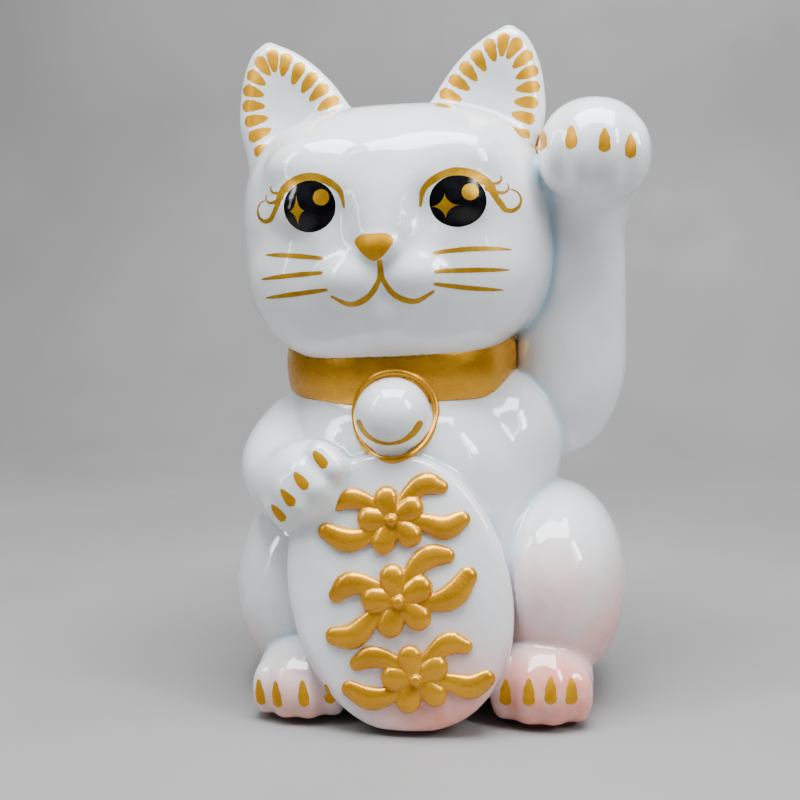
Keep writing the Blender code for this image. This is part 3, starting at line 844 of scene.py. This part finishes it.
def claw(centre, lean, length, half):
    """One claw, pointed at its upper end."""
    dx, dz = math.sin(lean) * length / 2, math.cos(lean) * length / 2
    return teardrop(centre[0] + dx, centre[1] - dz, centre[0] - dx, centre[1] + dz, half)


def enamel_plans():
    """Each painted piece: whether it is on the head, its finish and the plans of its marks."""
    outs = (-1, 1)
    nose = [(NOSE_X + x, z) for x, z in NOSE] + [(NOSE_X - x, z) for x, z in NOSE[:0:-1]]
    plans = {
        "eyes": (True, "black", [patch(oval(*eye), 0.16) for eye in EYES]),
        "eye_lights": (True, "line_gold_painted_shade", [
            patch(oval(x + EYE_DOT[0], z + EYE_DOT[1], EYE_DOT_RADIUS, EYE_DOT_RADIUS), 0.14, 0.13)
            for x, z, *_ in EYES] + [
            patch(star(x + EYE_STAR[0], z + EYE_STAR[1], *reach), 0.12, 0.13)
            for (x, z, *_), reach in zip(EYES, STAR_REACH)]),
        "lids_and_lashes": (True, "line_gold_painted_shade", [
            line for eye, out in zip(EYES, outs) for line in lid_and_lashes(eye, out)]),
        "nose": (True, "brushed_gold", [patch(closed_curve(nose), 0.22)]),
        "mouth": (True, "line_gold_painted_shade", [stroke([(out * x, z, w) for x, z, w in MOUTH]) for out in outs]),
        "whiskers": (True, "line_gold_painted_shade", [whisker(*w) for w in WHISKERS]),
        "bell_slit": (False, "line_gold_painted_shade", [
            stroke(arc(SLIT_CENTRE, SLIT_RADIUS, SLIT_START, SLIT_STOP, SLIT_WIDTHS), 0.25)]),
        "ear_right_strokes": (True, "brushed_gold", ear_strokes(-1)),
        "ear_left_strokes": (True, "brushed_gold", ear_strokes(1) + [teardrop(*EAR_ROOT_STROKE)]),
    }
    for name, (centres, lean, length, half) in CLAWS.items():
        plans[name + "_claws"] = (False, "brushed_gold", [
            claw(centre, math.radians(lean), length, half) for centre in centres])
    return plans


def onto_surface(places, back):
    """Where straight lines from the front meet the glaze or the collar, and the normals there."""
    p = back(np.column_stack((places[:, 0], np.full(len(places), -76.0), places[:, 1])))
    for _ in range(70):
        p[:, 1] += np.minimum(skin(p), collar_field(p)) * 0.9
    way = slope(lambda q: np.minimum(skin(q), collar_field(q)), p, 0.4)
    return p, unit(way)


def bell_rim_field():
    """A bead of slip round the bell, which rides over the chest and the collar behind it."""
    turn_at = np.arange(32) / 32 * math.tau
    ring = BELL_CENTRE[[0, 2]] + BELL_RIM_R * np.column_stack((np.cos(turn_at), np.sin(turn_at)))
    places = onto_surface(ring, np.array)[0]
    depth = np.fft.rfft(places[:, 1])
    depth[3:] = 0
    places[:, 1] = np.fft.irfft(depth, len(places)) - 0.2
    stations = np.column_stack((places, np.full(len(places), BELL_RIM_WIRE)))
    return lambda p: limb(p, np.vstack((stations, stations[:1])), 2)


def lay_enamel(name, on_head, plans, sunk=0.15):
    """One closed mesh for the marks of a painted piece, sunk a little into the glaze.

    Enamel this thin shines as the glaze under it does, so its normals are the glaze's own.
    """
    p, way = onto_surface(np.vstack([plan[0] for plan in plans]), from_head if on_head else np.array)
    points, normals, faces, start, done = [], [], [], 0, 0
    for places, height, upper in plans:
        count = len(places)
        here, out = p[start:start + count], way[start:start + count]
        points += [here + height[:, None] * out, here - sunk * out]
        normals += [out, out]
        edges = {}
        for face in upper:
            for a, b in zip(face, face[1:] + face[:1]):
                edges[(a, b)] = True
        rim = [(a, b) for a, b in edges if (b, a) not in edges]
        shell = list(upper) + [tuple(i + count for i in reversed(face)) for face in upper]
        shell += [(b, a, a + count, b + count) for a, b in rim]
        a, b, c = (points[-2][[face[i] for face in upper]] for i in range(3))
        if (np.cross(b - a, c - a) * out[[face[0] for face in upper]]).sum() < 0:
            shell = [tuple(reversed(face)) for face in shell]
        faces += [tuple(i + done for i in face) for face in shell]
        start += count
        done += 2 * count
    mesh = bpy.data.meshes.new(name)
    mesh.from_pydata((np.vstack(points) + AXIS) * MM, [], faces)
    mesh.shade_smooth()
    mesh.normals_split_custom_set_from_vertices(np.vstack(normals).tolist())
    obj = bpy.data.objects.new(name, mesh)
    bpy.context.scene.collection.objects.link(obj)
    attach(obj, "cat")
    return obj


# ---------------------------------------------------------------- finishes
CLOUD_LOW, CLOUD_HIGH = 0.15, 0.85           # noise levels that stand for the ends of a range


def finish(name, dark, light, rough, grain, bump, tints=(), stretch=(1, 1, 1), **sockets):
    """A surface whose colour, gloss and relief wander, with tints laid on by vertex attributes.

    grain is the number of colour patches to a metre, bump its height in metres, and each tint
    is an attribute's name, its colour and how strongly it shows.
    """
    made = bpy.data.materials.new(name)
    made.use_nodes = True
    nodes, links = made.node_tree.nodes, made.node_tree.links
    shader = nodes["Principled BSDF"]
    place = nodes.new("ShaderNodeTexCoord").outputs["Object"]
    scaled = nodes.new("ShaderNodeVectorMath")
    scaled.operation = "MULTIPLY"
    scaled.inputs[1].default_value = stretch
    links.new(place, scaled.inputs[0])

    def cloud(scale, detail, low, high):
        noise = nodes.new("ShaderNodeTexNoise")
        noise.inputs["Scale"].default_value = scale
        noise.inputs["Detail"].default_value = detail
        links.new(scaled.outputs[0], noise.inputs["Vector"])
        span = nodes.new("ShaderNodeMapRange")
        span.interpolation_type = "SMOOTHERSTEP"
        ends = {"From Min": CLOUD_LOW, "From Max": CLOUD_HIGH, "To Min": low, "To Max": high}
        for key, value in ends.items():
            span.inputs[key].default_value = value
        links.new(noise.outputs["Fac"], span.inputs["Value"])
        return span.outputs["Result"]

    def mixed(share, first, second):
        mix = nodes.new("ShaderNodeMix")
        mix.data_type = "RGBA"
        links.new(share, mix.inputs[0])
        if isinstance(first, tuple):
            mix.inputs[6].default_value = (*first, 1)
        else:
            links.new(first, mix.inputs[6])
        mix.inputs[7].default_value = (*second, 1)
        return mix.outputs[2]

    colour = mixed(cloud(grain, 4, 0, 1), dark, light)
    for attribute, tint, strength in tints:
        found = nodes.new("ShaderNodeAttribute")
        found.attribute_name = attribute
        share = nodes.new("ShaderNodeMath")
        share.operation = "MULTIPLY"
        links.new(found.outputs["Fac"], share.inputs[0])
        links.new(cloud(grain * 2.5, 3, 0.75 * strength, strength), share.inputs[1])
        colour = mixed(share.outputs[0], colour, tint)
    links.new(colour, shader.inputs["Base Color"])
    links.new(cloud(grain * 3, 3, *rough), shader.inputs["Roughness"])
    relief = nodes.new("ShaderNodeBump")
    relief.inputs["Strength"].default_value = 1.0
    relief.inputs["Distance"].default_value = bump
    links.new(cloud(grain * 1.7, 2, 0, 1), relief.inputs["Height"])
    links.new(relief.outputs[0], shader.inputs["Normal"])
    for key, value in sockets.items():
        shader.inputs[key.replace("_", " ")].default_value = value
    return made


def finishes():
    """Every finish of the cat, by name."""
    return {
        "porcelain": finish(
            "porcelain", (0.77, 0.80, 0.82), (0.84, 0.855, 0.865), (0.05, 0.11), 90, 0.00010,
            # The hollow tint darkens concave places to blue-grey: partly pooled glaze, partly painted shade
            # in creases and recesses.
            (("hollow", (0.46, 0.63, 0.73), 0.9), ("blush", (0.86, 0.27, 0.19), 1.0)),
            Coat_Weight=0.7, Coat_Roughness=0.02, Subsurface_Weight=0.1, Subsurface_Scale=0.003,
        ),
        "gold": finish(
            "gold", (0.55, 0.235, 0.005), (0.78, 0.37, 0.009), (0.22, 0.34), 90, 0.00003,
            stretch=(0.6, 0.6, 1), Metallic=0.55, Coat_Weight=0.10, Coat_Roughness=0.15,
        ),
        "brushed_gold": finish(
            "brushed_gold", (0.46, 0.20, 0.002), (0.62, 0.30, 0.003), (0.32, 0.44), 300, 0.00002,
            Metallic=0.3, Specular_IOR_Level=0.15,
        ),
        # A darker copy of the gold for the face's fine lines, the eyes' dots and stars, and the bell's slit.
        # This is painted shade, standing in for the dark surroundings that these marks reflect.
        "line_gold_painted_shade": finish(
            "line_gold_painted_shade", (0.33, 0.165, 0.005), (0.50, 0.265, 0.008), (0.30, 0.42), 300, 0.00002,
            Metallic=0.4, Specular_IOR_Level=0.15,
        ),
        "black": finish(
            "black", (0.001, 0.001, 0.0015), (0.006, 0.006, 0.007), (0.08, 0.2), 300, 0.00003,
            Specular_IOR_Level=0.3, Coat_Weight=0.15, Coat_Roughness=0.05,
        ),
        "rubber": finish(
            "rubber", (0.50, 0.50, 0.48), (0.60, 0.60, 0.58), (0.5, 0.7), 400, 0.00008,
        ),
    }


BLUSHES = (   # middle and reach of each blushed place in the cat's frame, and its strength
    ((50, -56, 8), 34, 0.95),
    ((44, -36, 26), 22, 0.50),
    ((66, -30, 20), 38, 0.62),
    ((50, -46, 38), 26, 0.34),
    ((-27, -58, 4), 24, 0.62),
    ((20, -66, 4), 40, 0.75),
    ((-46, -30, 14), 24, 0.26),
)


def blush(points):
    """How pink the glaze is at each point: sprayed on softly from the front."""
    found = np.zeros(len(points))
    for middle, reach, strength in BLUSHES:
        near = np.clip(1 - np.linalg.norm(points - middle, axis=1) / reach, 0, 1)
        found = np.maximum(found, strength * near * near * (3 - 2 * near) * 1.4)
    return np.clip(found, 0, 1)


# ---------------------------------------------------------------- stage
LENS, SENSOR = 54, 36
CAMERA_AT = np.array((41.4, -393.8, 141.0))          # in the cat's frame, mm
CAMERA_AZIMUTH, CAMERA_PITCH = math.radians(6), math.radians(-7.2)
CAMERA_SHIFT = -0.00375                              # across, as a share of the frame's width
COOL, DAYLIGHT, WHITE = (0.93, 0.97, 1.0), (0.95, 0.98, 1.0), (1, 1, 1)
LIGHTS = {   # place in mm, size in metres, power in watts and colour
    "overhead": ((20, -120, 780), (0.66, 0.42), 18, COOL),
    "left_high": ((-440, -220, 540), (0.10, 0.30), 1.5, DAYLIGHT),
    "right_high": ((480, -280, 480), (0.10, 0.30), 2.6, DAYLIGHT),
    "left_strip": ((-560, -330, 430), (0.03, 0.5), 0.6, WHITE),
    "right_strip": ((520, -420, 520), (0.03, 0.4), 0.5, WHITE),
}
LIGHT_AIM = (0, 0, 100)
ROOM_BELOW, ROOM_ABOVE, ROOM_STRENGTH = (0.13, 0.105, 0.09), (0.62, 0.69, 0.78), 0.08
FLOOR_HALF_WIDTH, FLOOR_FRONT, FLOOR_BEND, BEND_RADIUS, WALL_TOP = 2.2, -1.6, 0.35, 0.25, 2.2    # metres


def stage():
    data = bpy.data.cameras.new("camera")
    data.lens, data.sensor_width = LENS, SENSOR
    data.shift_x = CAMERA_SHIFT
    camera = bpy.data.objects.new("camera", data)
    camera.location = (CAMERA_AT + AXIS) * MM
    camera.rotation_euler = (math.pi / 2 + CAMERA_PITCH, 0, CAMERA_AZIMUTH)
    bpy.context.scene.collection.objects.link(camera)
    bpy.context.scene.camera = camera


def add_light(name, at, size, power, colour):
    data = bpy.data.lights.new(name, "AREA")
    data.shape, data.size, data.size_y = "RECTANGLE", size[0], size[1]
    data.energy, data.color = power, colour
    light = bpy.data.objects.new(name, data)
    light.location = Vector(at) * MM
    way = (Vector(LIGHT_AIM) - Vector(at)).normalized()
    light.rotation_euler = way.to_track_quat("-Z", "Y").to_euler()
    bpy.context.scene.collection.objects.link(light)


def surround():
    """A room that is bright and cool overhead and dim and warm below."""
    world = bpy.data.worlds.new("room")
    world.use_nodes = True
    nodes, links = world.node_tree.nodes, world.node_tree.links
    height = nodes.new("ShaderNodeSeparateXYZ")
    links.new(nodes.new("ShaderNodeTexCoord").outputs["Generated"], height.inputs[0])
    span = nodes.new("ShaderNodeMapRange")
    span.inputs["From Min"].default_value, span.inputs["From Max"].default_value = -0.3, 0.8
    links.new(height.outputs["Z"], span.inputs["Value"])
    mix = nodes.new("ShaderNodeMix")
    mix.data_type = "RGBA"
    links.new(span.outputs["Result"], mix.inputs[0])
    mix.inputs[6].default_value, mix.inputs[7].default_value = (*ROOM_BELOW, 1), (*ROOM_ABOVE, 1)
    links.new(mix.outputs[2], nodes["Background"].inputs["Color"])
    nodes["Background"].inputs["Strength"].default_value = ROOM_STRENGTH
    bpy.context.scene.world = world


def floor():
    """A pale floor that curves up into a plain backdrop."""
    profile = [(FLOOR_FRONT, 0.0), (FLOOR_BEND, 0.0)]
    for step in range(1, 9):
        angle = math.radians(90 * step / 8)
        y = FLOOR_BEND + BEND_RADIUS * math.sin(angle)
        profile.append((y, BEND_RADIUS - BEND_RADIUS * math.cos(angle)))
    profile.append((FLOOR_BEND + BEND_RADIUS, WALL_TOP))
    points = [(x, y, z) for y, z in profile for x in (-FLOOR_HALF_WIDTH, FLOOR_HALF_WIDTH)]
    faces = [(2 * i, 2 * i + 1, 2 * i + 3, 2 * i + 2) for i in range(len(profile) - 1)]
    mesh = bpy.data.meshes.new("floor")
    mesh.from_pydata(points, [], faces)
    mesh.shade_smooth()
    obj = bpy.data.objects.new("floor", mesh)
    bpy.context.scene.collection.objects.link(obj)
    return obj


def gild(looks):
    """The collar, the bell's rim and the plaque's sprays."""
    collar = solid_mesh(seated(collar_field), *COLLAR_BOX)
    gilt_piece("collar_gilt", collar, "collar_band").data.materials.append(looks["gold"])
    before, beyond = BELL_RIM_BOX
    rim = solid_mesh(bell_rim_field(), BELL_CENTRE - before, BELL_CENTRE + beyond, 0.45)
    gilt_piece("bell_rim", rim, "bell_ring").data.materials.append(looks["gold"])
    for node, (centre, side, size) in SPRAYS.items():
        middle = from_plaque((centre[0], -2, centre[1]))[0]
        field = seated(lambda p: sprays_field(p, centre, side, size))
        relief = solid_mesh(field, middle - SPRAY_BOX, middle + SPRAY_BOX, 0.5)
        gilt_piece(node + "_gilt", relief, node).data.materials.append(looks["gold"])


def paint(looks):
    """The brushed enamel."""
    for name, (on_head, look, plans) in enamel_plans().items():
        marks = lay_enamel(name, on_head, plans)
        marks.data.materials.append(looks[look])


def main():
    looks = finishes()
    for node in NAMES:
        piece = skin_piece(node, torso_openings if node == "torso_shell" else None)
        piece.data.materials.append(looks["porcelain"])
    gild(looks)
    paint(looks)
    for node in ("base_stopper", "pad_1", "pad_2", "pad_3", "pad_4"):
        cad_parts[node].data.materials.clear()
        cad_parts[node].data.materials.append(looks["rubber"])
    stage()
    floor().data.materials.append(finish(
        "pale_ground", (0.235, 0.225, 0.22), (0.275, 0.265, 0.26), (0.5, 0.65), 7, 0.0001))
    for name, light in LIGHTS.items():
        add_light(name, *light)
    surround()


main()
